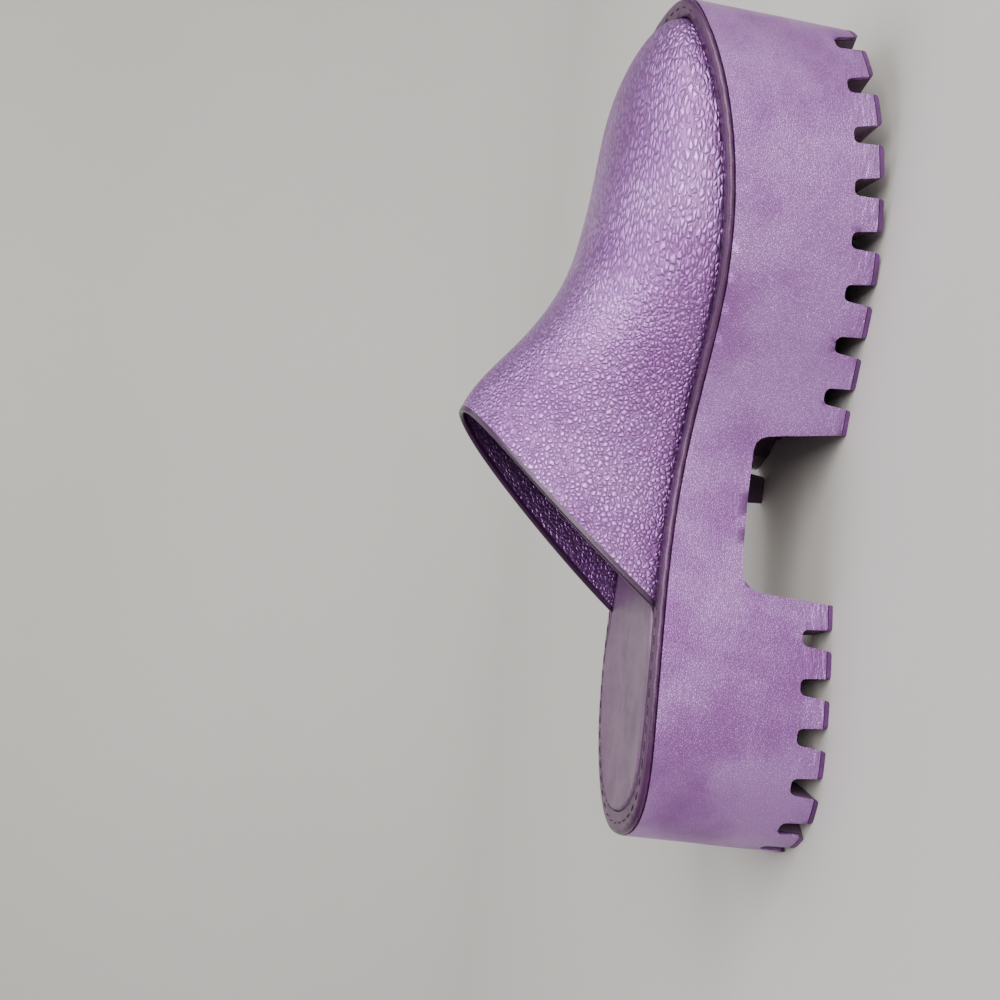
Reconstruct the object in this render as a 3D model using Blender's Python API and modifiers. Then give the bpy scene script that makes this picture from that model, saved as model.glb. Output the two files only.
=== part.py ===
"""Platform mule, left shoe: a closed-toe leather upper on a leather-wrapped platform with block lugs.

The toe points along +X and the medial side faces -Y. The shoe stands on the plane Z = 0.
Run it with blender --background --python part.py, or from Blender's text editor.
"""

from math import acos, atan2, cos, pi, sin

import bmesh
import bpy
import numpy as np
from mathutils import Vector

# Driving dimensions, in metres
SHOE_LENGTH = 0.265
BALL_MEDIAL = 0.052  # reach of the platform from the centre line at the ball, medial side
BALL_LATERAL = 0.0543  # the same, lateral side
PLATFORM_THICKNESS = 0.0524  # of the block under the heel
TOE_SPRING = 0.0156  # how far the sole rises at the toe tip
SPRING_START = 0.59  # share of the length where the sole leaves the floor
INSTEP_HEIGHT = 0.0696  # collar peak above the platform's top
UPPER_WALL = 0.002
WRAP_WALL = 0.0012
FLANGE_HEIGHT = 0.0013  # bare edge of the lugs below the wrap
RAND_WIDTH = 0.005
RAND_HEIGHT = 0.0019
INSOLE_EDGE = 0.0027  # height of the sock's rolled edge above the platform
INSOLE_DISH = 0.001  # how much lower its middle lies
GAP = 0.0003  # between neighbouring pieces
CUTTER_MARGIN = 0.006  # how far the cutters run past the solids

# Lugs and the channels between them
CHANNEL_DEPTH = 0.0094
CHANNEL_REACH = 0.024  # from the side wall inwards
CHANNEL_MOUTH = 0.0066
CHANNEL_ROOT = 0.0048
LUG_CORNER = 0.0012  # rounding of a lug's tip
ROOT_CORNER = 0.0018  # rounding at the bottom of a channel
CENTRE_RECESS = 0.0035  # depth of the field inside the ring of lugs
FOREFOOT_PITCH_MEDIAL = 0.016
FOREFOOT_PITCH_LATERAL = 0.0169
HEEL_PITCH = 0.01483
FIRST_LUG = 0.011  # from a breast to the middle of the first channel

# Collar
COLLAR_REAR = 0.0685  # wing tips, from the heel's back
COLLAR_PEAK = 0.1285  # instep peak, from the heel's back
COLLAR_BOW = 0.0025  # hollow of the collar line between them

# Plan of the platform. along: share of SHOE_LENGTH; medial and lateral: shares of the ball reaches
OUTLINE_COLUMNS = ("along", "medial", "lateral")
OUTLINE = (
    (0.035, 0.487, 0.362),
    (0.120, 0.642, 0.552),
    (0.250, 0.615, 0.594),
    (0.380, 0.545, 0.625),
    (0.500, 0.599, 0.820),
    (0.620, 0.795, 0.970),
    (0.740, 0.949, 1.000),
    (0.850, 0.999, 0.864),
    (0.940, 0.915, 0.612),
    (0.985, 0.694, 0.366),
)
TOE_TIP = 0.119  # share of BALL_MEDIAL by which the toe's tip lies on the medial side

# Block thickness. along: share of SHOE_LENGTH; thick: share of PLATFORM_THICKNESS
BLOCK_COLUMNS = ("along", "thick")
BLOCK = (
    (0.0, 0.971),
    (0.2, 1.000),
    (0.4, 0.960),
    (0.6, 0.887),
    (0.8, 0.910),
    (1.0, 1.010),
)

# Arch gap, from the medial to the lateral side. reach: share of the ball reach of that side; the rest
# from the heel's back or the floor, shares of SHOE_LENGTH
ARCH_COLUMNS = ("reach", "heel_floor", "heel_top", "ball_floor", "ball_top", "roof_heel", "roof_ball")
ARCH = (
    (-0.60, 0.2930, 0.2975, 0.4930, 0.4750, 0.1105, 0.1090),
    (-0.45, 0.2880, 0.2925, 0.4985, 0.4810, 0.1100, 0.1080),
    (-0.38, 0.2480, 0.2570, 0.5012, 0.4838, 0.1098, 0.1075),
    (-0.08, 0.2590, 0.2680, 0.5120, 0.4960, 0.1090, 0.1050),
    (0.37, 0.2610, 0.2710, 0.5275, 0.5135, 0.1070, 0.1000),
    (0.52, 0.2625, 0.2725, 0.5290, 0.5160, 0.1058, 0.0980),
    (0.61, 0.2632, 0.2732, 0.5180, 0.5060, 0.1050, 0.0965),
    (0.66, 0.2638, 0.2738, 0.4960, 0.4850, 0.1047, 0.0955),
    (0.69, 0.2640, 0.2740, 0.4465, 0.4370, 0.1045, 0.0950),
)
HEEL_FILLET = 0.0065
BALL_FILLET = 0.0048

# Width of the border strip. along: share of SHOE_LENGTH; width: share of RAND_WIDTH
RAND_COLUMNS = ("along", "width")
RAND = (
    (0.00, 1.40),
    (0.10, 1.20),
    (0.25, 1.00),
    (0.80, 0.95),
    (1.00, 1.10),
)

# Outer edge of the border strip, from its foot up. Both: share of RAND_HEIGHT
RAND_EDGE_COLUMNS = ("inset", "height")
RAND_EDGE = (
    (0.00, 0.00),
    (0.00, 0.45),
    (0.18, 0.80),
    (0.60, 1.00),
)

# The sock from its edge inwards. inset and height: share of INSOLE_EDGE; dish: share of INSOLE_DISH
SOCK_COLUMNS = ("inset", "height", "dish")
SOCK = (
    (0.00, 0.00, 0.0),
    (0.00, 0.75, 0.0),
    (0.25, 1.00, 0.0),
    (1.00, 1.00, 0.3),
    (3.50, 1.00, 1.0),
)
SOCK_SHIFT = (0.009, 0.001)  # where its edge draws in under the upper: from, to, behind the wing tips

# Sections of the upper. along: share from the heel's back to the upper's toe; crown: share of
# INSTEP_HEIGHT; ridge: place of the crest from the medial to the lateral edge; side and top: how full
# the section is beside and on top
UPPER_COLUMNS = ("along", "crown", "ridge", "side", "top")
UPPER = (
    (0.200, 1.040, 0.50, 2.05, 1.75),
    (0.400, 1.030, 0.50, 2.05, 1.75),
    (0.493, 1.000, 0.50, 2.05, 1.80),
    (0.520, 0.968, 0.50, 2.05, 1.82),
    (0.550, 0.905, 0.50, 2.08, 1.85),
    (0.583, 0.812, 0.50, 2.12, 1.90),
    (0.623, 0.712, 0.49, 2.18, 1.95),
    (0.667, 0.625, 0.48, 2.25, 2.00),
    (0.713, 0.555, 0.48, 2.30, 2.05),
    (0.760, 0.500, 0.48, 2.35, 2.10),
    (0.810, 0.443, 0.48, 2.40, 2.15),
    (0.860, 0.384, 0.49, 2.45, 2.20),
    (0.905, 0.325, 0.50, 2.50, 2.25),
    (0.945, 0.254, 0.50, 2.50, 2.25),
    (0.975, 0.174, 0.50, 2.50, 2.25),
    (0.990, 0.110, 0.50, 2.50, 2.25),
)

# Facets
OUTLINE_STATIONS = 46  # on each side
UPPER_ROWS = 30
UPPER_RIBS = 13  # on each side of the crest
ARC_STEPS = 3
FINE = 1440  # samples used to measure along the outline

LEATHER = ("pebbled leather", (0.36, 0.13, 0.42), 0.42, 0.65)
WRAP_LEATHER = ("wrap leather", (0.33, 0.13, 0.40), 0.45, 0.65)
EDGE_LEATHER = ("border strip", (0.10, 0.02, 0.11), 0.40, 0.10)
SOCK_LEATHER = ("sock", (0.13, 0.05, 0.14), 0.35, 0.10)
BLOCK_FOAM = ("platform block", (0.12, 0.06, 0.12), 0.60, 0.0)


def column(rows, columns, name):
    return np.array([row[columns.index(name)] for row in rows])


def spline(knots, values, at):
    """Values at the places asked for, on the natural cubic spline through the knots."""
    knots, values = np.asarray(knots, float), np.asarray(values, float)
    step = np.diff(knots)
    rise = np.diff(values) / step
    system = np.eye(len(knots))
    bend = np.zeros(len(knots))
    for i in range(1, len(knots) - 1):
        system[i, i - 1 : i + 2] = step[i - 1], 2 * (step[i - 1] + step[i]), step[i]
        bend[i] = 6 * (rise[i] - rise[i - 1])
    bend = np.linalg.solve(system, bend)
    i = np.clip(np.searchsorted(knots, at) - 1, 0, len(knots) - 2)
    t = at - knots[i]
    slope = rise[i] - step[i] * (2 * bend[i] + bend[i + 1]) / 6
    return values[i] + t * (slope + t * (bend[i] / 2 + t * (bend[i + 1] - bend[i]) / (6 * step[i])))


def plan_knots():
    """The turn angle and the sideways place of every knot of the outline, over more than one lap."""
    turn = np.arccos(1 - 2 * column(OUTLINE, OUTLINE_COLUMNS, "along"))
    medial = -BALL_MEDIAL * column(OUTLINE, OUTLINE_COLUMNS, "medial")
    lateral = BALL_LATERAL * column(OUTLINE, OUTLINE_COLUMNS, "lateral")
    lap = np.concatenate([[0], turn, [pi], 2 * pi - turn[::-1]])
    side = np.concatenate([[0], medial, [-TOE_TIP * BALL_MEDIAL], lateral[::-1]])
    return np.concatenate([lap - 2 * pi, lap, lap + 2 * pi]), np.tile(side, 3)


TURNS, SIDES = plan_knots()
REACHES = spline(TURNS, SIDES, np.linspace(0, 2 * pi, FINE))
CENTRE_Y = 0.5 * (REACHES.min() + REACHES.max())


def plan(turn, inset=0.0):
    """Points of the outline: turn 0 is the heel's back, pi the toe's tip, the medial side between them."""
    turn = np.asarray(turn, float)

    def at(angle):
        x = SHOE_LENGTH * (0.5 - 0.5 * np.cos(angle)) - SHOE_LENGTH / 2
        return np.stack([x, spline(TURNS, SIDES, angle) - CENTRE_Y], axis=-1)

    ahead = at(turn + 1e-3) - at(turn - 1e-3)
    ahead /= np.linalg.norm(ahead, axis=-1, keepdims=True)
    inward = np.stack([-ahead[..., 1], ahead[..., 0]], axis=-1)
    return at(turn) + inward * np.asarray(inset)[..., None]


def share(x):
    return x / SHOE_LENGTH + 0.5


def floor_height(x):
    """Underside of the sole: flat from the heel to the ball, then the toe spring."""
    rise = np.clip((share(x) - SPRING_START) / (1 - SPRING_START), 0, None)
    return TOE_SPRING * rise**2


def floor_slope(x):
    rise = np.clip((share(x) - SPRING_START) / (1 - SPRING_START), 0, None)
    return 2 * TOE_SPRING * rise / ((1 - SPRING_START) * SHOE_LENGTH)


def block_top(x):
    """Top of the platform block, on which border strip, insole and upper sit."""
    thick = spline(column(BLOCK, BLOCK_COLUMNS, "along"), column(BLOCK, BLOCK_COLUMNS, "thick"), share(x))
    return floor_height(x) + PLATFORM_THICKNESS * thick


def rand_width(x):
    width = spline(column(RAND, RAND_COLUMNS, "along"), column(RAND, RAND_COLUMNS, "width"), share(x))
    return RAND_WIDTH * width


def eased(value, low, high):
    t = np.clip((value - low) / (high - low), 0, 1)
    return t * t * (3 - 2 * t)


def stations():
    """Turn angles once round the outline."""
    return np.linspace(0, 2 * pi, 2 * OUTLINE_STATIONS, endpoint=False)


def material(finish):
    name, colour, roughness, metallic = finish
    made = bpy.data.materials.get(name) or bpy.data.materials.new(name)
    made.use_nodes = True
    shader = made.node_tree.nodes["Principled BSDF"]
    shader.inputs["Base Color"].default_value = (*colour, 1)
    shader.inputs["Roughness"].default_value = roughness
    shader.inputs["Metallic"].default_value = metallic
    return made


def new_object(name, mesh_builder, collection, finish=None):
    mesh = bpy.data.meshes.new(name)
    bmesh.ops.recalc_face_normals(mesh_builder, faces=mesh_builder.faces)
    mesh_builder.to_mesh(mesh)
    mesh_builder.free()
    made = bpy.data.objects.new(name, mesh)
    collection.objects.link(made)
    if finish:
        mesh.materials.append(material(finish))
        mesh.shade_smooth()
        mesh.set_sharp_from_angle(angle=0.6)
    return made


def bridge(work, first, second, closed=True):
    count = len(first)
    for i in range(count if closed else count - 1):
        j = (i + 1) % count
        work.faces.new((first[i], first[j], second[j], second[i]))


def cap(work, ring):
    """Closes a ring of the outline with strips from the medial to the lateral side."""
    count = len(ring)
    for i in range(count // 2):
        j = (count - i) % count
        corners = [ring[i], ring[i + 1], ring[j - 1 if j else count - 1], ring[j]]
        corners = [v for k, v in enumerate(corners) if v not in corners[:k]]
        work.faces.new(corners)


def stacked(work, levels):
    """Rings of the outline, one for each pair of an inset and a height function."""
    rings = []
    for inset, height in levels:
        middle = plan(stations())
        points = plan(stations(), inset(middle[:, 0]))
        rings.append([work.verts.new((x, y, height(x))) for x, y in points])
    return rings


def steady(value):
    return lambda x: np.full_like(x, value)


def rounded(corners, radii):
    """A flat line through the corners, each rounded with its own radius."""
    points = []
    for i, (corner, radius) in enumerate(zip(corners, radii)):
        corner = Vector(corner)
        if not radius:
            points.append(corner)
            continue
        before = (Vector(corners[i - 1]) - corner).normalized()
        after = (Vector(corners[(i + 1) % len(corners)]) - corner).normalized()
        half = acos(max(-1, min(1, before.dot(after)))) / 2
        middle = corner + (before + after).normalized() * (radius / sin(half))
        start = corner + before * (radius * cos(half) / sin(half)) - middle
        end = corner + after * (radius * cos(half) / sin(half)) - middle
        sweep = atan2(start.x * end.y - start.y * end.x, start.dot(end))
        for step in range(ARC_STEPS + 1):
            turn = sweep * step / ARC_STEPS
            x = start.x * cos(turn) - start.y * sin(turn)
            y = start.x * sin(turn) + start.y * cos(turn)
            points.append(middle + Vector((x, y)))
    return points


def loft(name, outlines, collection):
    """A closed cutter through rings of equally many points."""
    work = bmesh.new()
    rings = [[work.verts.new(point) for point in outline] for outline in outlines]
    for first, second in zip(rings, rings[1:]):
        bridge(work, first, second)
    work.faces.new(rings[0])
    work.faces.new(rings[-1])
    return new_object(name, work, collection)


def channel_profile():
    """Section of a channel: across and up from the lug tips, open below them."""
    mouth = CHANNEL_MOUTH / 2
    root = CHANNEL_ROOT / 2
    flare = mouth + LUG_CORNER
    return rounded(
        [
            (-flare - LUG_CORNER, -CUTTER_MARGIN),
            (-flare - LUG_CORNER, 0),
            (-mouth, 0),
            (-root, CHANNEL_DEPTH),
            (root, CHANNEL_DEPTH),
            (mouth, 0),
            (flare + LUG_CORNER, 0),
            (flare + LUG_CORNER, -CUTTER_MARGIN),
        ],
        [0, 0, LUG_CORNER, ROOT_CORNER, ROOT_CORNER, LUG_CORNER, 0, 0],
    )


def arc_turns():
    """Turn angle as a function of the way along the outline, and its inverse, as sampled pairs."""
    turn = np.linspace(0, 2 * pi, FINE + 1)
    points = plan(turn)
    way = np.concatenate([[0], np.cumsum(np.linalg.norm(np.diff(points, axis=0), axis=1))])
    return turn, way


def breast_way(turn, way, place, lateral):
    """Way along the outline to the spot where a breast meets one side."""
    angle = acos(1 - 2 * place)
    return float(np.interp(2 * pi - angle if lateral else angle, turn, way))


def channel_turns():
    """Turn angles of every channel: the forefoot's from breast to breast round the toe, then the heel's."""
    turn, way = arc_turns()
    heel_column, ball_column = ARCH_COLUMNS.index("heel_floor"), ARCH_COLUMNS.index("ball_floor")
    start = breast_way(turn, way, ARCH[0][ball_column], False) + FIRST_LUG
    end = breast_way(turn, way, ARCH[-1][ball_column], True) - FIRST_LUG
    count = round((end - start) / (0.5 * (FOREFOOT_PITCH_MEDIAL + FOREFOOT_PITCH_LATERAL)))
    steps = np.linspace(FOREFOOT_PITCH_MEDIAL, FOREFOOT_PITCH_LATERAL, count)
    places = start + np.concatenate([[0], np.cumsum(steps)]) * (end - start) / steps.sum()
    start = breast_way(turn, way, ARCH[-1][heel_column], True) + FIRST_LUG
    end = way[-1] + breast_way(turn, way, ARCH[0][heel_column], False) - FIRST_LUG
    count = round((end - start) / HEEL_PITCH)
    places = np.concatenate([places, np.linspace(start, end, count + 1) % way[-1]])
    return np.interp(places, way, turn)


def channel_cutters(collection):
    for number, turn in enumerate(channel_turns()):
        edge, deep = plan([turn, turn], [0.0, CHANNEL_REACH])
        inward = Vector((*(deep - edge), 0)).normalized()
        along = Vector((inward.y, -inward.x, 0))
        slope = floor_slope(edge[0])
        inward.z = slope * inward.x
        along.z = slope * along.x
        inward.normalize()
        along.normalize()
        up = inward.cross(along)
        up = up if up.z > 0 else -up
        foot = Vector((*edge, float(floor_height(edge[0]))))
        rings = [
            [foot + inward * reach + along * point.x + up * point.y for point in channel_profile()]
            for reach in (-CUTTER_MARGIN, CHANNEL_REACH)
        ]
        loft(f"channel cutter {number + 1}", rings, collection)


def arch_cutter(collection):
    """The gap between heel and forefoot, a little further back on the lateral side."""
    rings = []
    for row in ARCH:
        size = dict(zip(ARCH_COLUMNS, row))
        across = size["reach"] * (BALL_LATERAL if size["reach"] > 0 else BALL_MEDIAL) - CENTRE_Y
        top = size["roof_heel"] * SHOE_LENGTH
        heel_lean = (size["heel_top"] - size["heel_floor"]) * -CUTTER_MARGIN / top * SHOE_LENGTH
        ball_lean = (size["ball_top"] - size["ball_floor"]) * -CUTTER_MARGIN / top * SHOE_LENGTH
        place = {name: (size[name] - 0.5) * SHOE_LENGTH for name in ARCH_COLUMNS[1:5]}
        corners = [
            (place["heel_floor"] + heel_lean, -CUTTER_MARGIN),
            (place["heel_top"], top),
            (place["ball_top"], size["roof_ball"] * SHOE_LENGTH),
            (place["ball_floor"] + ball_lean, -CUTTER_MARGIN),
        ]
        flat = rounded(corners, [0, HEEL_FILLET, BALL_FILLET, 0])
        rings.append([(point.x, across, point.y) for point in flat])
    rings.insert(0, [(x, y - BALL_MEDIAL, z) for x, y, z in rings[0]])
    rings.append([(x, y + BALL_LATERAL, z) for x, y, z in rings[-1]])
    loft("arch cutter", rings, collection)


def recess_cutter(collection):
    """The field inside the ring of lugs, a little above the floor."""
    end = acos(1 - 2 * CHANNEL_REACH / SHOE_LENGTH)
    turns = np.linspace(end, pi - end, OUTLINE_STATIONS)
    medial = plan(turns) + [0, CHANNEL_REACH]
    lateral = plan(2 * pi - turns)[::-1] - [0, CHANNEL_REACH]
    heel = (medial[:1] + lateral[-1:]) / 2
    toe = (medial[-1:] + lateral[:1]) / 2
    ring = np.concatenate([heel, medial, toe, lateral])
    work = bmesh.new()
    rings = []
    for lift in (-CUTTER_MARGIN, CENTRE_RECESS):
        rings.append([work.verts.new((x, y, floor_height(x) + lift)) for x, y in ring])
        cap(work, rings[-1])
    bridge(work, *rings)
    new_object("recess cutter", work, collection)


def cut(target, cutters):
    modifier = target.modifiers.new("cut", "BOOLEAN")
    modifier.operation = "DIFFERENCE"
    modifier.solver = "EXACT"
    modifier.operand_type = "COLLECTION"
    modifier.collection = cutters
    modifier.use_self = True


def platform(collection, cutters):
    """The moulded block: inside the wrap, with a flange at the lug tips that reaches the wrap's face."""
    work = bmesh.new()
    inner = WRAP_WALL + GAP
    rings = stacked(
        work,
        [
            (steady(0.0), floor_height),
            (steady(0.0), lambda x: floor_height(x) + FLANGE_HEIGHT),
            (steady(inner), lambda x: floor_height(x) + FLANGE_HEIGHT),
            (steady(inner), block_top),
        ],
    )
    for low, high in zip(rings, rings[1:]):
        bridge(work, low, high)
    cap(work, rings[0])
    cap(work, rings[-1])
    cut(new_object("platform", work, collection, BLOCK_FOAM), cutters)


def platform_wrap(collection, cutters):
    """The leather skin round the block's side."""
    work = bmesh.new()
    foot = FLANGE_HEIGHT + GAP
    rings = stacked(
        work,
        [
            (steady(0.0), lambda x: floor_height(x) + foot),
            (steady(0.0), block_top),
            (steady(WRAP_WALL), block_top),
            (steady(WRAP_WALL), lambda x: floor_height(x) + foot),
        ],
    )
    for low, high in zip(rings, rings[1:] + rings[:1]):
        bridge(work, low, high)
    cut(new_object("platform_wrap", work, collection, WRAP_LEATHER), cutters)


def rand(collection):
    """The border strip on the platform's top edge, with a rounded outer edge."""
    work = bmesh.new()
    levels = []
    for row in RAND_EDGE:
        size = dict(zip(RAND_EDGE_COLUMNS, row))
        up = GAP + size["height"] * RAND_HEIGHT
        levels.append((steady(GAP + size["inset"] * RAND_HEIGHT), lambda x, up=up: block_top(x) + up))
    levels.append((rand_width, lambda x: block_top(x) + GAP + RAND_HEIGHT))
    levels.append((rand_width, lambda x: block_top(x) + GAP))
    rings = stacked(work, levels)
    for low, high in zip(rings, rings[1:] + rings[:1]):
        bridge(work, low, high)
    new_object("rand", work, collection, EDGE_LEATHER)


def insole_inset(x):
    """Inset of the sock's edge: against the border strip behind the wings, inside the upper before them."""
    behind = COLLAR_REAR - SHOE_LENGTH * share(x)
    under = 1 - eased(behind, SOCK_SHIFT[1], SOCK_SHIFT[0])
    return rand_width(x) + GAP + under * (UPPER_WALL + 3 * GAP)


def insole(collection):
    """The sock board: a rolled edge and a slightly dished middle."""
    work = bmesh.new()
    levels = []
    for row in SOCK:
        size = dict(zip(SOCK_COLUMNS, row))
        more = size["inset"] * INSOLE_EDGE
        up = GAP + size["height"] * (INSOLE_EDGE - GAP) - size["dish"] * INSOLE_DISH
        levels.append((lambda x, more=more: insole_inset(x) + more, lambda x, up=up: block_top(x) + up))
    rings = stacked(work, levels)
    for low, high in zip(rings, rings[1:]):
        bridge(work, low, high)
    cap(work, rings[0])
    cap(work, rings[-1])
    new_object("insole", work, collection, SOCK_LEATHER)


class UpperForm:
    """The upper's outer surface, from lengthwise place and rib angle to a point."""

    def __init__(self):
        turn = np.linspace(0, 2 * pi, FINE + 1)
        middle = plan(turn)
        edge = plan(turn, rand_width(middle[:, 0]) + GAP)
        self.toe = edge[:, 0].max()
        tip = int(edge[:, 0].argmax())
        back = int(edge[:, 0].argmin()) % FINE
        self.medial = edge[back : tip + 1]
        self.lateral = edge[tip:][::-1]
        self.heel = -SHOE_LENGTH / 2
        along = column(UPPER, UPPER_COLUMNS, "along")
        self.knots = np.concatenate([np.arcsin(along), [pi / 2]])
        self.columns = {name: column(UPPER, UPPER_COLUMNS, name) for name in UPPER_COLUMNS[1:]}

    def x(self, stage):
        """Place along the shoe. The stage runs to a quarter turn at the toe, so that the toe closes round."""
        return self.heel + (self.toe - self.heel) * np.sin(stage)

    def value(self, name, stage):
        values = self.columns[name]
        last = 0.0 if name == "crown" else values[-1]
        return spline(self.knots, np.append(values, last), stage)

    def point(self, stage, rib):
        """rib 0 is the medial edge, 1 the crest and 2 the lateral edge."""
        x = self.x(stage)
        medial = np.interp(x, self.medial[:, 0], self.medial[:, 1])
        lateral = np.interp(x, self.lateral[:, 0], self.lateral[:, 1])
        crest = medial + (lateral - medial) * self.value("ridge", stage)
        edge = medial if rib < 1 else lateral
        angle = pi / 2 * (rib if rib < 1 else 2 - rib)
        out = max(cos(angle), 0.0) ** (2 / self.value("side", stage))
        rise = sin(angle) ** (2 / self.value("top", stage))
        foot = block_top(x) + 3 * GAP
        height = max(self.value("crown", stage) * INSTEP_HEIGHT - 3 * GAP, 0.0)
        return np.array([x, crest + (edge - crest) * out, foot + height * rise])

    def collar_gap(self, stage, rib):
        """How far a point lies ahead of the collar line."""
        x, _, z = self.point(stage, rib)
        low = block_top(self.heel + COLLAR_REAR)
        high = block_top(self.heel + COLLAR_PEAK) + INSTEP_HEIGHT
        t = (z - low) / (high - low)
        return x - self.heel - COLLAR_REAR - (COLLAR_PEAK - COLLAR_REAR) * t + 4 * COLLAR_BOW * t * (1 - t)

    def collar_stage(self, rib):
        """The stage at which a rib meets the collar line, by halving."""
        low, high = self.knots[0], self.knots[-3]
        for _ in range(40):
            middle = 0.5 * (low + high)
            if self.collar_gap(middle, rib) < 0:
                low = middle
            else:
                high = middle
        return high


def upper(collection):
    """A shell of real wall thickness, open at the collar and underneath."""
    form = UpperForm()
    work = bmesh.new()
    rows = []
    for rib in np.linspace(0, 2, 2 * UPPER_RIBS + 1):
        start = form.collar_stage(rib)
        stages = start + (pi / 2 - start) * np.linspace(0, 1, UPPER_ROWS + 1)
        rows.append([work.verts.new(form.point(stage, rib)) for stage in stages])
    for first, second in zip(rows, rows[1:]):
        bridge(work, first, second, closed=False)
    bmesh.ops.remove_doubles(work, verts=work.verts, dist=1e-5)
    made = new_object("upper", work, collection, LEATHER)
    wall = made.modifiers.new("wall", "SOLIDIFY")
    wall.thickness = UPPER_WALL
    wall.offset = -1
    wall.use_even_offset = True


def main():
    for item in list(bpy.data.objects):
        bpy.data.objects.remove(item, do_unlink=True)
    shoe = bpy.data.collections.new("platform mule")
    cutters = bpy.data.collections.new("cutters")
    for collection in (shoe, cutters):
        bpy.context.scene.collection.children.link(collection)
    channel_cutters(cutters)
    arch_cutter(cutters)
    wrap_cutters = bpy.data.collections.new("wrap cutters")
    bpy.context.scene.collection.children.link(wrap_cutters)
    for item in cutters.objects:
        wrap_cutters.objects.link(item)
    recess_cutter(cutters)
    for item in cutters.objects:
        item.hide_render = True
        item.display_type = "WIRE"
    platform(shoe, cutters)
    platform_wrap(shoe, wrap_cutters)
    rand(shoe)
    insole(shoe)
    upper(shoe)


main()
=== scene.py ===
from math import cos, pi, radians

import bmesh
import bpy
import numpy as np
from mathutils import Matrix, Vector, noise


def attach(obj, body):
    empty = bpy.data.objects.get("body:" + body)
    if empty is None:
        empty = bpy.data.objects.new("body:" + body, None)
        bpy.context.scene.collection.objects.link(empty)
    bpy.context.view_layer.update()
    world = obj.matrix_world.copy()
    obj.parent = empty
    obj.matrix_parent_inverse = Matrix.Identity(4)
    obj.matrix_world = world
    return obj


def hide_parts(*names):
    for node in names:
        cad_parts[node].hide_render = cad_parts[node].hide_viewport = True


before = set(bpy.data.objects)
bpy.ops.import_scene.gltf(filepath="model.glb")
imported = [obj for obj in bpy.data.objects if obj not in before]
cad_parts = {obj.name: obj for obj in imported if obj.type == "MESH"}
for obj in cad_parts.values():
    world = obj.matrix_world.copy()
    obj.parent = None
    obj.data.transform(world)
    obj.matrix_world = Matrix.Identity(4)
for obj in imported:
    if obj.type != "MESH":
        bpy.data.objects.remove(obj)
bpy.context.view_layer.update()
mm = 0.001

# the shoe's own sizes, as in its solids
shoe = {
    "length": 0.265,
    "medialReach": 0.052,
    "lateralReach": 0.0543,
    "centre": 0.001349,
    "toeTip": 0.119,
    "thickness": 0.0524,
    "spring": 0.0156,
    "springStart": 0.59,
    "stations": 46,
    "plan": (  # along, medial, lateral
        (0.035, 0.487, 0.362), (0.120, 0.642, 0.552), (0.250, 0.615, 0.594), (0.380, 0.545, 0.625),
        (0.500, 0.599, 0.820), (0.620, 0.795, 0.970), (0.740, 0.949, 1.000), (0.850, 0.999, 0.864),
        (0.940, 0.915, 0.612), (0.985, 0.694, 0.366),
    ),
    "block": ((0.0, 0.971), (0.2, 1.0), (0.4, 0.96), (0.6, 0.887), (0.8, 0.91), (1.0, 1.01)),
    "strip": ((0.0, 1.4), (0.1, 1.2), (0.25, 1.0), (0.8, 0.95), (1.0, 1.1)),
    "stripWidth": 0.005,
    "stripHeight": 0.0022,
    "lugHeight": 0.0094,
    "flangeHeight": 0.0014,
}


def curveThrough(knots, values, at):  # natural cubic
    knots, values = np.asarray(knots, float), np.asarray(values, float)
    step = np.diff(knots)
    rise = np.diff(values) / step
    system, bend = np.eye(len(knots)), np.zeros(len(knots))
    for i in range(1, len(knots) - 1):
        system[i, i - 1 : i + 2] = step[i - 1], 2 * (step[i - 1] + step[i]), step[i]
        bend[i] = 6 * (rise[i] - rise[i - 1])
    bend = np.linalg.solve(system, bend)
    i = np.clip(np.searchsorted(knots, at) - 1, 0, len(knots) - 2)
    t = at - knots[i]
    slope = rise[i] - step[i] * (2 * bend[i] + bend[i + 1]) / 6
    return values[i] + t * (slope + t * (bend[i] / 2 + t * (bend[i + 1] - bend[i]) / (6 * step[i])))


def planKnots():
    place, medial, lateral = (np.array(part) for part in zip(*shoe["plan"]))
    turn = np.arccos(1 - 2 * place)
    lap = np.concatenate([[0], turn, [pi], 2 * pi - turn[::-1]])
    tip = -shoe["toeTip"] * shoe["medialReach"]
    side = np.concatenate([[0], -shoe["medialReach"] * medial, [tip], shoe["lateralReach"] * lateral[::-1]])
    return np.concatenate([lap - 2 * pi, lap, lap + 2 * pi]), np.tile(side, 3)


planTurns, planSides = planKnots()


def outlineAt(turn, inset=0.0):  # turn 0 is the heel's back, pi the toe
    turn = np.asarray(turn, float)

    def at(angle):
        x = -0.5 * shoe["length"] * np.cos(angle)
        return np.stack([x, curveThrough(planTurns, planSides, angle) - shoe["centre"]], axis=-1)

    ahead = at(turn + 1e-3) - at(turn - 1e-3)
    ahead /= np.linalg.norm(ahead, axis=-1, keepdims=True)
    return at(turn) + np.stack([-ahead[..., 1], ahead[..., 0]], axis=-1) * np.asarray(inset)[..., None]


def along(x):
    return x / shoe["length"] + 0.5


def floorAt(x):
    rise = np.clip((along(x) - shoe["springStart"]) / (1 - shoe["springStart"]), 0, None)
    return shoe["spring"] * rise**2


def blockTop(x):
    places, thick = zip(*shoe["block"])
    return floorAt(x) + shoe["thickness"] * curveThrough(places, thick, along(x))


def stripWidth(x):
    places, width = zip(*shoe["strip"])
    return shoe["stripWidth"] * curveThrough(places, width, along(x))


# node helpers

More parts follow.
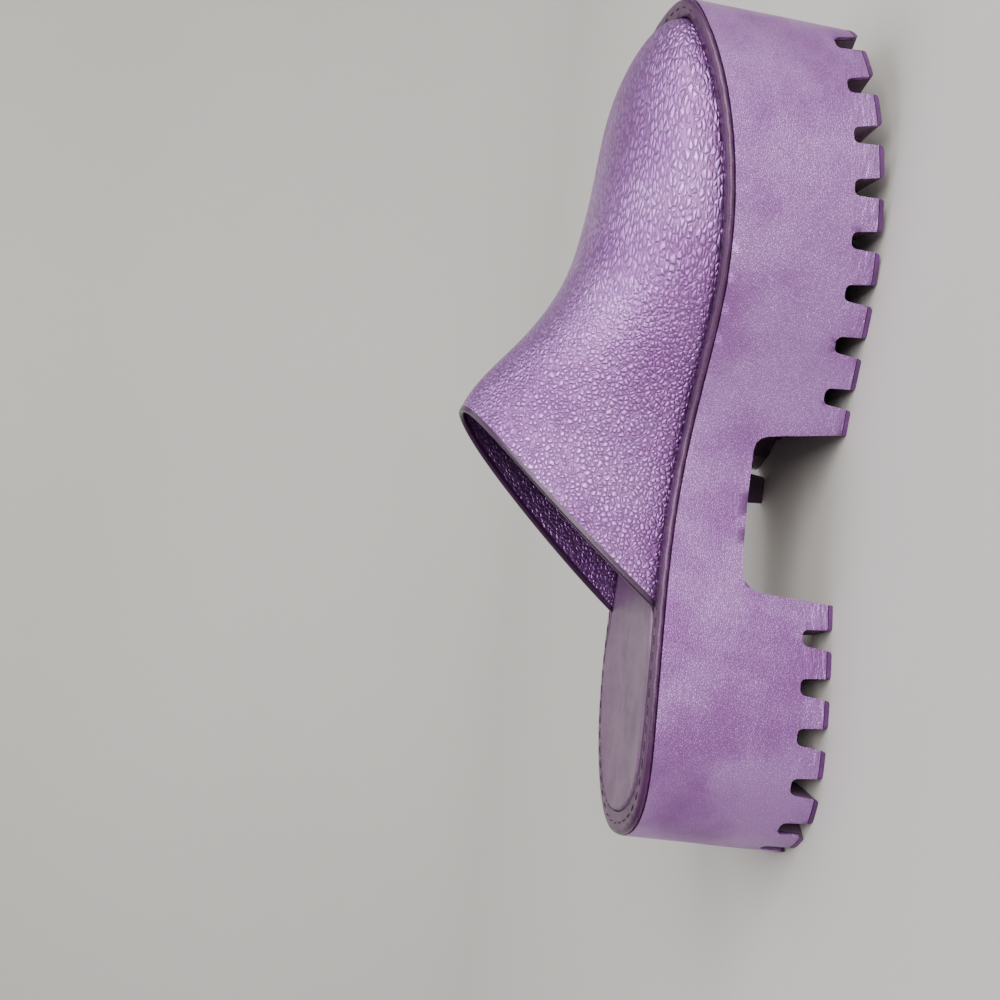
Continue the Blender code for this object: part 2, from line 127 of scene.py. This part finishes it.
def add(tree, kind, props=None, **inputs):
    node = tree.nodes.new("ShaderNode" + kind)
    for name, value in (props or {}).items():
        setattr(node, name, value)
    for name, value in inputs.items():
        socket = node.inputs[int(name[1:])] if name[0] == "i" and name[1:].isdigit() else node.inputs[name]
        if isinstance(value, bpy.types.NodeSocket):
            tree.links.new(value, socket)
        else:
            socket.default_value = value
    return node


def sums(tree, kind, a, b=0.0, c=0.0):
    return add(tree, "Math", {"operation": kind}, i0=a, i1=b, i2=c).outputs[0]


def ramped(tree, value, low, high, start=0.0, end=1.0):
    node = add(tree, "MapRange", {"interpolation_type": "SMOOTHSTEP"}, i0=value, i1=low, i2=high, i3=start, i4=end)
    return node.outputs[0]


def blended(tree, share, first, second):
    node = tree.nodes.new("ShaderNodeMix")
    node.data_type = "RGBA"
    for index, value in ((0, share), (6, first), (7, second)):
        if isinstance(value, bpy.types.NodeSocket):
            tree.links.new(value, node.inputs[index])
        else:
            node.inputs[index].default_value = value if index == 0 else (*value, 1)
    return node.outputs[2]


def newGroup(name, inputs, outputs):
    tree = bpy.data.node_groups.new(name, "ShaderNodeTree")
    for label, kind, value in inputs:
        socket = tree.interface.new_socket(label, in_out="INPUT", socket_type="NodeSocket" + kind)
        if value is not None:
            socket.default_value = value
    for label, kind in outputs:
        tree.interface.new_socket(label, in_out="OUTPUT", socket_type="NodeSocket" + kind)
    return tree, tree.nodes.new("NodeGroupInput"), tree.nodes.new("NodeGroupOutput")


def pebbleGroup():  # leather pebbles with soft grooves between them
    tree, given, result = newGroup(
        "leather pebbles",
        [("Vector", "Vector", None), ("Cells", "Float", 600.0), ("Warp", "Float", 0.8)],
        [("Height", "Float"), ("Groove", "Float")],
    )
    where, cells = given.outputs["Vector"], given.outputs["Cells"]
    drift = add(tree, "TexNoise", Vector=where, Scale=sums(tree, "MULTIPLY", cells, 0.55), Detail=1.0)
    drift = add(tree, "VectorMath", {"operation": "SUBTRACT"}, i0=drift.outputs["Color"], i1=(0.5, 0.5, 0.5))
    reach = sums(tree, "DIVIDE", given.outputs["Warp"], cells)
    drift = add(tree, "VectorMath", {"operation": "SCALE"}, i0=drift.outputs[0], Scale=reach)
    moved = add(tree, "VectorMath", {"operation": "ADD"}, i0=where, i1=drift.outputs[0]).outputs[0]
    edge = add(tree, "TexVoronoi", {"feature": "DISTANCE_TO_EDGE"}, Vector=moved, Scale=cells)
    edge = ramped(tree, edge.outputs["Distance"], 0.0, 0.30)
    dome = add(tree, "TexVoronoi", {"feature": "SMOOTH_F1"}, Vector=moved, Scale=cells, Smoothness=0.5)
    dome = sums(tree, "SUBTRACT", 1.0, dome.outputs["Distance"])
    fine = add(tree, "TexNoise", Vector=where, Scale=sums(tree, "MULTIPLY", cells, 3.2), Detail=2.0)
    height = sums(tree, "MULTIPLY_ADD", edge, 0.55, sums(tree, "MULTIPLY", dome, 0.40))
    height = sums(tree, "MULTIPLY_ADD", fine.outputs["Fac"], 0.10, height)
    tree.links.new(height, result.inputs["Height"])
    # Groove: the mask of the grooves between pebbles, also used to paint shade into them
    tree.links.new(sums(tree, "SUBTRACT", 1.0, edge), result.inputs["Groove"])
    return tree


def cloudGroup():  # slow change of dye and gloss over a hide
    tree, given, result = newGroup(
        "dye clouds",
        [("Vector", "Vector", None), ("Size", "Float", 0.03), ("Low", "Float", 0.35), ("High", "Float", 0.65)],
        [("Mask", "Float")],
    )
    scale = sums(tree, "DIVIDE", 1.0, given.outputs["Size"])
    cloud = add(tree, "TexNoise", Vector=given.outputs["Vector"], Scale=scale, Detail=4.0, Roughness=0.55)
    mask = ramped(tree, cloud.outputs["Fac"], given.outputs["Low"], given.outputs["High"])
    tree.links.new(mask, result.inputs["Mask"])
    return tree


pebbles = pebbleGroup()
clouds = cloudGroup()


def useGroup(tree, group, **inputs):
    node = tree.nodes.new("ShaderNodeGroup")
    node.node_tree = group
    for name, value in inputs.items():
        if isinstance(value, bpy.types.NodeSocket):
            tree.links.new(value, node.inputs[name])
        else:
            node.inputs[name].default_value = value
    return node.outputs


def newFinish(name, **constant):
    made = bpy.data.materials.new(name)
    made.use_nodes = True
    shader = made.node_tree.nodes["Principled BSDF"]
    for label, value in constant.items():
        shader.inputs[label.replace("_", " ")].default_value = value
    return made, made.node_tree, shader


def objectPlace(tree, stretch=(1, 1, 1)):
    where = tree.nodes.new("ShaderNodeTexCoord").outputs["Object"]
    if stretch == (1, 1, 1):
        return where
    return add(tree, "Mapping", Vector=where, Scale=stretch).outputs[0]


def raise_(tree, shader, height, distance, strength=1.0):
    bump = add(tree, "Bump", Height=height, Distance=distance, Strength=strength)
    tree.links.new(bump.outputs["Normal"], shader.inputs["Normal"])


hide = {
    "lilac": (0.52, 0.27, 0.66),
    "violet": (0.36, 0.15, 0.46),
    # painted shade: dark plum laid into the grooves between pebbles
    "grooveShade": (0.13, 0.022, 0.15),
    "pebble": 1.5 * mm,
    "pebbleDepth": 0.34 * mm,
    "fineGrain": 0.62 * mm,
    "fineDepth": 0.075 * mm,
    "metal": 0.86,
}


def upperFinish():
    made, tree, shader = newFinish("pebbled metallic leather", Coat_Roughness=0.32, Coat_Weight=0.12)
    where = objectPlace(tree)
    round_ = useGroup(tree, pebbles, Vector=where, Cells=1 / hide["pebble"], Warp=0.9)
    pulled = useGroup(tree, pebbles, Vector=objectPlace(tree, (0.40, 1, 1)), Cells=1.1 / hide["pebble"], Warp=0.9)
    lengthwise = add(tree, "SeparateXYZ", Vector=where).outputs["X"]
    toe = ramped(tree, lengthwise, 0.0, 0.055)
    height = add(tree, "Mix", i0=toe, i2=round_["Height"], i3=pulled["Height"]).outputs[0]
    groove = add(tree, "Mix", i0=toe, i2=round_["Groove"], i3=pulled["Groove"]).outputs[0]
    cloud = useGroup(tree, clouds, Vector=where, Size=0.035, Low=0.30, High=0.70)["Mask"]
    colour = blended(tree, cloud, hide["violet"], hide["lilac"])
    # painted shade: grooves between pebbles darkened towards dark plum
    colour = blended(tree, sums(tree, "MULTIPLY", groove, 0.55), colour, hide["grooveShade"])
    tree.links.new(colour, shader.inputs["Base Color"])
    rough = sums(tree, "MULTIPLY_ADD", groove, 0.12, 0.36)
    tree.links.new(sums(tree, "MULTIPLY_ADD", cloud, -0.04, rough), shader.inputs["Roughness"])
    shader.inputs["Metallic"].default_value = hide["metal"]
    raise_(tree, shader, height, hide["pebbleDepth"])
    return made


def wrapFinish():
    made, tree, shader = newFinish("fine metallic leather", Coat_Roughness=0.35, Coat_Weight=0.08)
    where = objectPlace(tree)
    grain = useGroup(tree, pebbles, Vector=objectPlace(tree, (0.8, 1, 1)), Cells=1 / hide["fineGrain"], Warp=1.3)
    patch = useGroup(tree, clouds, Vector=where, Size=0.028, Low=0.34, High=0.62)["Mask"]
    scuff = useGroup(tree, clouds, Vector=where, Size=0.006, Low=0.50, High=0.80)["Mask"]
    colour = blended(tree, patch, hide["violet"], hide["lilac"])
    # painted shade: grooves of the fine grain darkened towards dark plum
    colour = blended(tree, sums(tree, "MULTIPLY", grain["Groove"], 0.30), colour, hide["grooveShade"])
    lug = add(tree, "Attribute", {"attribute_name": "lugShare"}).outputs["Fac"]
    tree.links.new(colour, shader.inputs["Base Color"])
    rough = sums(tree, "MULTIPLY_ADD", scuff, 0.08, 0.42)
    tree.links.new(sums(tree, "MULTIPLY_ADD", patch, -0.05, rough), shader.inputs["Roughness"])
    shader.inputs["Metallic"].default_value = hide["metal"]
    fold = add(tree, "TexNoise", Vector=objectPlace(tree, (90, 420, 420)), Scale=1.0, Detail=2.0)
    fold = sums(tree, "MULTIPLY", ramped(tree, fold.outputs["Fac"], 0.42, 0.62), lug)
    height = sums(tree, "MULTIPLY_ADD", fold, 2.2, grain["Height"])
    raise_(tree, shader, height, hide["fineDepth"])
    return made


def plainFinish(name, colour, dark, rough, cell, depth, metal=0.0, coat=0.0):  # smooth coated pieces
    made, tree, shader = newFinish(name, Metallic=metal, Coat_Weight=coat, Coat_Roughness=0.25)
    where = objectPlace(tree)
    cloud = useGroup(tree, clouds, Vector=where, Size=0.012, Low=0.35, High=0.7)["Mask"]
    tree.links.new(blended(tree, cloud, colour, dark), shader.inputs["Base Color"])
    tree.links.new(sums(tree, "MULTIPLY_ADD", cloud, 0.08, rough), shader.inputs["Roughness"])
    grain = useGroup(tree, pebbles, Vector=where, Cells=1 / cell, Warp=1.0)
    raise_(tree, shader, grain["Height"], depth)
    return made


def paperFinish():
    made, tree, shader = newFinish("paper", Roughness=0.9, Specular_IOR_Level=0.2)
    cloud = useGroup(tree, clouds, Vector=objectPlace(tree), Size=0.35, Low=0.2, High=0.8)["Mask"]
    dark = tuple(0.97 * part for part in paper["colour"])
    tree.links.new(blended(tree, cloud, paper["colour"], dark), shader.inputs["Base Color"])
    return made


# meshes

def place(name, work, finishes):
    mesh = bpy.data.meshes.new(name)
    work.to_mesh(mesh)
    work.free()
    for finish in finishes:
        mesh.materials.append(finish)
    mesh.shade_smooth()
    made = bpy.data.objects.new(name, mesh)
    bpy.context.scene.collection.objects.link(made)
    return made


def mergedCopy(node):
    work = bmesh.new()
    work.from_mesh(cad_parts[node].data)
    bmesh.ops.remove_doubles(work, verts=work.verts, dist=2e-6)
    return work


def cutAcross(work, places, normal):
    for where in places:
        geom = work.verts[:] + work.edges[:] + work.faces[:]
        bmesh.ops.bisect_plane(work, geom=geom, dist=1e-6, plane_co=where, plane_no=normal)


def finerStations(parts):
    count = shoe["stations"] * parts
    return [(-0.5 * shoe["length"] * cos(k * pi / count), 0, 0) for k in range(1, count) if k % parts]


def roundOutline(work, reach):  # moves the facets' middles out to the true curve
    turns = np.linspace(0, 2 * pi, 2 * shoe["stations"] + 1)
    corner = outlineAt(turns)
    chord = corner[1:] - corner[:-1]
    where = np.array([vert.co[:2] for vert in work.verts])
    part = ((where[:, None] - corner[None, :-1]) * chord).sum(-1) / (chord**2).sum(-1)
    part = np.clip(part, 0, 1)
    near = corner[None, :-1] + part[..., None] * chord
    away = np.linalg.norm(where[:, None] - near, axis=-1)
    pick = away.argmin(1)
    rows = np.arange(len(where))
    turn = turns[pick] + part[rows, pick] * turns[1]
    move = outlineAt(turn) - near[rows, pick]
    keep = np.clip(1.5 - away[rows, pick] / reach, 0, 1)
    for vert, shift, share in zip(work.verts, move, keep):
        vert.co.x += shift[0] * share
        vert.co.y += shift[1] * share
    return turn, away[rows, pick]


def applied(made):  # the piece with its modifiers' result as its mesh
    shown = made.evaluated_get(bpy.context.evaluated_depsgraph_get())
    mesh = bpy.data.meshes.new_from_object(shown)
    made.modifiers.clear()
    made.data = mesh
    return made


def settle(made, node):
    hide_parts(node)
    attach(made, "root")
    return made


# camera, stage and light

view = {
    "place": (-0.0872375, -0.3619638, 0.1479707),
    "turn": (47.80473896, 79.10605839, -50.29796111),
    "focal": 1142.5575,  # pixels in a frame 1000 wide
}
paper = {"front": -1.3, "back": 0.62, "cove": 0.5, "top": 2.2, "half": 2.4, "colour": (0.66, 0.64, 0.605)}
lights = (  # name, place, aimed at, size, watts, colour
    ("window", (0.55, -1.25, 0.75), (0.02, 0.0, 0.05), (1.5, 1.1), 34, (1.0, 0.985, 0.96)),
    ("ceiling", (0.1, 0.1, 1.7), (0.0, 0.2, 0.0), (1.6, 1.6), 16, (0.96, 0.98, 1.0)),
)


def makeCamera():
    data = bpy.data.cameras.new("camera")
    data.sensor_width = 36
    data.lens = view["focal"] / 1000 * data.sensor_width
    data.clip_start = 0.01
    made = bpy.data.objects.new("camera", data)
    bpy.context.scene.collection.objects.link(made)
    made.location = view["place"]
    made.rotation_euler = [radians(angle) for angle in view["turn"]]
    bpy.context.scene.camera = made


def makeStage():
    work = bmesh.new()
    front = work.verts.new((-paper["half"], paper["front"], 0))
    foot = work.verts.new((-paper["half"], paper["back"], 0))
    work.edges.new((front, foot))
    swept = bmesh.ops.spin(
        work, geom=[foot], cent=(0, paper["back"], paper["cove"]), axis=(1, 0, 0), dvec=(0, 0, 0),
        angle=pi / 2, steps=24, use_duplicate=False,
    )
    last = [item for item in swept["geom_last"] if isinstance(item, bmesh.types.BMVert)]
    raised = bmesh.ops.extrude_vert_indiv(work, verts=last)
    raised["verts"][0].co.z = paper["top"]
    sheet = bmesh.ops.extrude_edge_only(work, edges=work.edges[:])
    ends = [item for item in sheet["geom"] if isinstance(item, bmesh.types.BMVert)]
    bmesh.ops.translate(work, verts=ends, vec=(2 * paper["half"], 0, 0))
    bmesh.ops.recalc_face_normals(work, faces=work.faces[:])
    if work.faces[0].normal.z < 0:
        bmesh.ops.reverse_faces(work, faces=work.faces[:])
    place("paper", work, [paperFinish()])


def makeLights():
    for name, where, aim, size, watts, colour in lights:
        data = bpy.data.lights.new(name, "AREA")
        data.shape = "RECTANGLE"
        data.size, data.size_y = size
        data.energy = watts
        data.color = colour
        made = bpy.data.objects.new(name, data)
        bpy.context.scene.collection.objects.link(made)
        made.location = where
        made.rotation_euler = (Vector(aim) - Vector(where)).to_track_quat("-Z", "Y").to_euler()
    world = bpy.data.worlds.new("room")
    world.use_nodes = True
    sky = world.node_tree.nodes["Background"]
    sky.inputs["Color"].default_value = (0.80, 0.79, 0.80, 1)
    sky.inputs["Strength"].default_value = 0.32
    bpy.context.scene.world = world


makeCamera()
makeStage()
makeLights()
print("stage set")

# upper

upper = {"collarWay": (0.060, 0.066), "bead": 0.65 * mm, "edge": (0.045, 0.006, 0.052)}


def makeUpper():
    work = mergedCopy("upper")
    bmesh.ops.join_triangles(
        work, faces=work.faces[:], angle_face_threshold=radians(60), angle_shape_threshold=radians(75),
    )
    back = Vector((-upper["collarWay"][1], 0, upper["collarWay"][0])).normalized()
    rim = {face for face in work.faces if face.normal.dot(back) > 0.6 and face.calc_center_median().x < 0.0}
    for face in rim:
        face.material_index = 1
    sides = [edge for edge in work.edges if sum(face in rim for face in edge.link_faces) == 1]
    bmesh.ops.bevel(
        work, geom=sides, offset=upper["bead"], segments=2, profile=0.5, affect="EDGES", material=1,
    )
    odd = sum(len(face.verts) != 4 for face in work.faces)
    print("upper faces", len(work.faces), "not four-sided", odd, "rim", len(rim))
    edge = plainFinish("edge paint", upper["edge"], (0.03, 0.004, 0.035), 0.30, 0.9 * mm, 0.02 * mm, 0.0, 0.25)
    made = place("upperShell", work, [upperFinish(), edge])
    smoothing = made.modifiers.new("smooth", "SUBSURF")
    smoothing.levels = smoothing.render_levels = 2
    applied(made)
    return settle(made, "upper")


makeUpper()
print("upper made")

# platform wall, block and border strip

wall = {"parts": 4, "rowStep": 4.0 * mm, "wave": 0.10 * mm, "pucker": 0.22 * mm, "waveSize": 0.011}


def makeWrap():
    work = mergedCopy("platform_wrap")
    bmesh.ops.dissolve_limit(
        work, angle_limit=radians(0.5), use_dissolve_boundaries=False, verts=work.verts[:], edges=work.edges[:],
        delimit=set(),
    )
    cutAcross(work, finerStations(wall["parts"]), (1, 0, 0))
    rows = np.arange(wall["rowStep"], 0.068, wall["rowStep"])
    cutAcross(work, [(0, 0, z) for z in rows], (0, 0, 1))
    turn, inset = roundOutline(work, 3 * mm)
    lug = work.verts.layers.float.new("lugShare")
    for vert, angle in zip(work.verts, turn):
        lift = vert.co.z - floorAt(vert.co.x)
        fall = blockTop(vert.co.x) - vert.co.z
        vert[lug] = float(np.clip(1.25 - lift / shoe["lugHeight"], 0, 1))
        spot = vert.co / wall["waveSize"]
        amount = wall["wave"] * noise.noise(spot) + wall["pucker"] * noise.noise(spot * 1.9) * np.exp(-fall / 0.003)
        out = outlineAt(angle) - outlineAt(angle, 1.0)
        vert.co.x += float(out[0] * amount)
        vert.co.y += float(out[1] * amount)
    made = place("wallLeather", work, [wrapFinish()])
    made.data.set_sharp_from_angle(angle=radians(40))
    return settle(made, "platform_wrap")


def makeBlock():
    work = mergedCopy("platform")
    bmesh.ops.dissolve_limit(
        work, angle_limit=radians(0.5), use_dissolve_boundaries=False, verts=work.verts[:], edges=work.edges[:],
        delimit=set(),
    )
    cutAcross(work, finerStations(wall["parts"]), (1, 0, 0))
    turn, inset = roundOutline(work, 3 * mm)
    work.verts.index_update()
    for face in work.faces:
        spot = face.calc_center_median()
        outer = max(inset[vert.index] for vert in face.verts) < 0.3 * mm
        face.material_index = int(outer and spot.z - floorAt(spot.x) < shoe["flangeHeight"])
    foam = plainFinish("moulded block", (0.115, 0.062, 0.110), (0.075, 0.035, 0.075), 0.55, 0.8 * mm, 0.03 * mm)
    flange = plainFinish("lug edge", (0.16, 0.05, 0.21), (0.10, 0.03, 0.13), 0.38, 0.9 * mm, 0.02 * mm, 0.4)
    made = place("mouldedBlock", work, [foam, flange])
    made.data.set_sharp_from_angle(angle=radians(35))
    return settle(made, "platform")


def makeStrip():
    work = mergedCopy("rand")
    cutAcross(work, finerStations(wall["parts"]), (1, 0, 0))
    roundOutline(work, 8 * mm)
    finish = plainFinish("border strip", (0.085, 0.020, 0.090), (0.060, 0.012, 0.062), 0.33, 1.1 * mm, 0.035 * mm, 0.25, 0.2)
    made = place("borderStrip", work, [finish])
    made.data.set_sharp_from_angle(angle=radians(50))
    return settle(made, "rand")


def makeSock():
    work = mergedCopy("insole")
    cutAcross(work, finerStations(wall["parts"]), (1, 0, 0))
    roundOutline(work, 12 * mm)
    finish = plainFinish("sock leather", (0.17, 0.085, 0.175), (0.13, 0.060, 0.135), 0.36, 0.5 * mm, 0.018 * mm, 0.15, 0.1)
    made = place("sockLeather", work, [finish])
    made.data.set_sharp_from_angle(angle=radians(50))
    return settle(made, "insole")


makeWrap()
makeBlock()
makeStrip()
makeSock()
print("sole made")

# stitches along the border strip

stitch = {"every": 5.2 * mm, "long": 3.0 * mm, "thick": 0.55 * mm, "slant": 0.35, "colour": (0.05, 0.008, 0.055)}


def makeStitches():
    turns = np.linspace(0, 2 * pi, 1440)
    edge = outlineAt(turns)
    middle = outlineAt(turns, 0.52 * stripWidth(edge[:, 0]))
    way = np.concatenate([[0], np.cumsum(np.linalg.norm(np.diff(middle, axis=0), axis=1))])
    count = int(way[-1] / stitch["every"])
    work = bmesh.new()
    for k in range(count):
        here = (k + 0.5) * way[-1] / count
        x, y = (np.interp(here, way, middle[:, i]) for i in (0, 1))
        dx, dy = (np.interp(here + mm, way, middle[:, i]) - np.interp(here - mm, way, middle[:, i]) for i in (0, 1))
        made = bmesh.ops.create_uvsphere(work, u_segments=8, v_segments=6, radius=0.5)["verts"]
        bmesh.ops.scale(work, verts=made, vec=(stitch["long"], stitch["thick"], stitch["thick"] * 0.8))
        lean = (blockTop(x + mm) - blockTop(x - mm)) / (2 * mm)
        heading = float(np.arctan2(dy, dx))
        matrixOf = Vector((1, 0, lean * np.cos(heading))).to_track_quat("X", "Z").to_matrix()
        bmesh.ops.rotate(work, verts=made, cent=(0, 0, 0), matrix=matrixOf)
        turnOf = Vector((np.cos(heading + 0.12), np.sin(heading + 0.12), 0)).to_track_quat("X", "Z").to_matrix()
        bmesh.ops.rotate(work, verts=made, cent=(0, 0, 0), matrix=turnOf)
        top = blockTop(x) + shoe["stripHeight"] + 0.05 * mm
        bmesh.ops.translate(work, verts=made, vec=(x, y, float(top)))
    thread = plainFinish("waxed thread", stitch["colour"], (0.03, 0.004, 0.034), 0.45, 0.3 * mm, 0.03 * mm)
    made = place("borderStitches", work, [thread])
    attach(made, "root")


makeStitches()
print("stitches made")
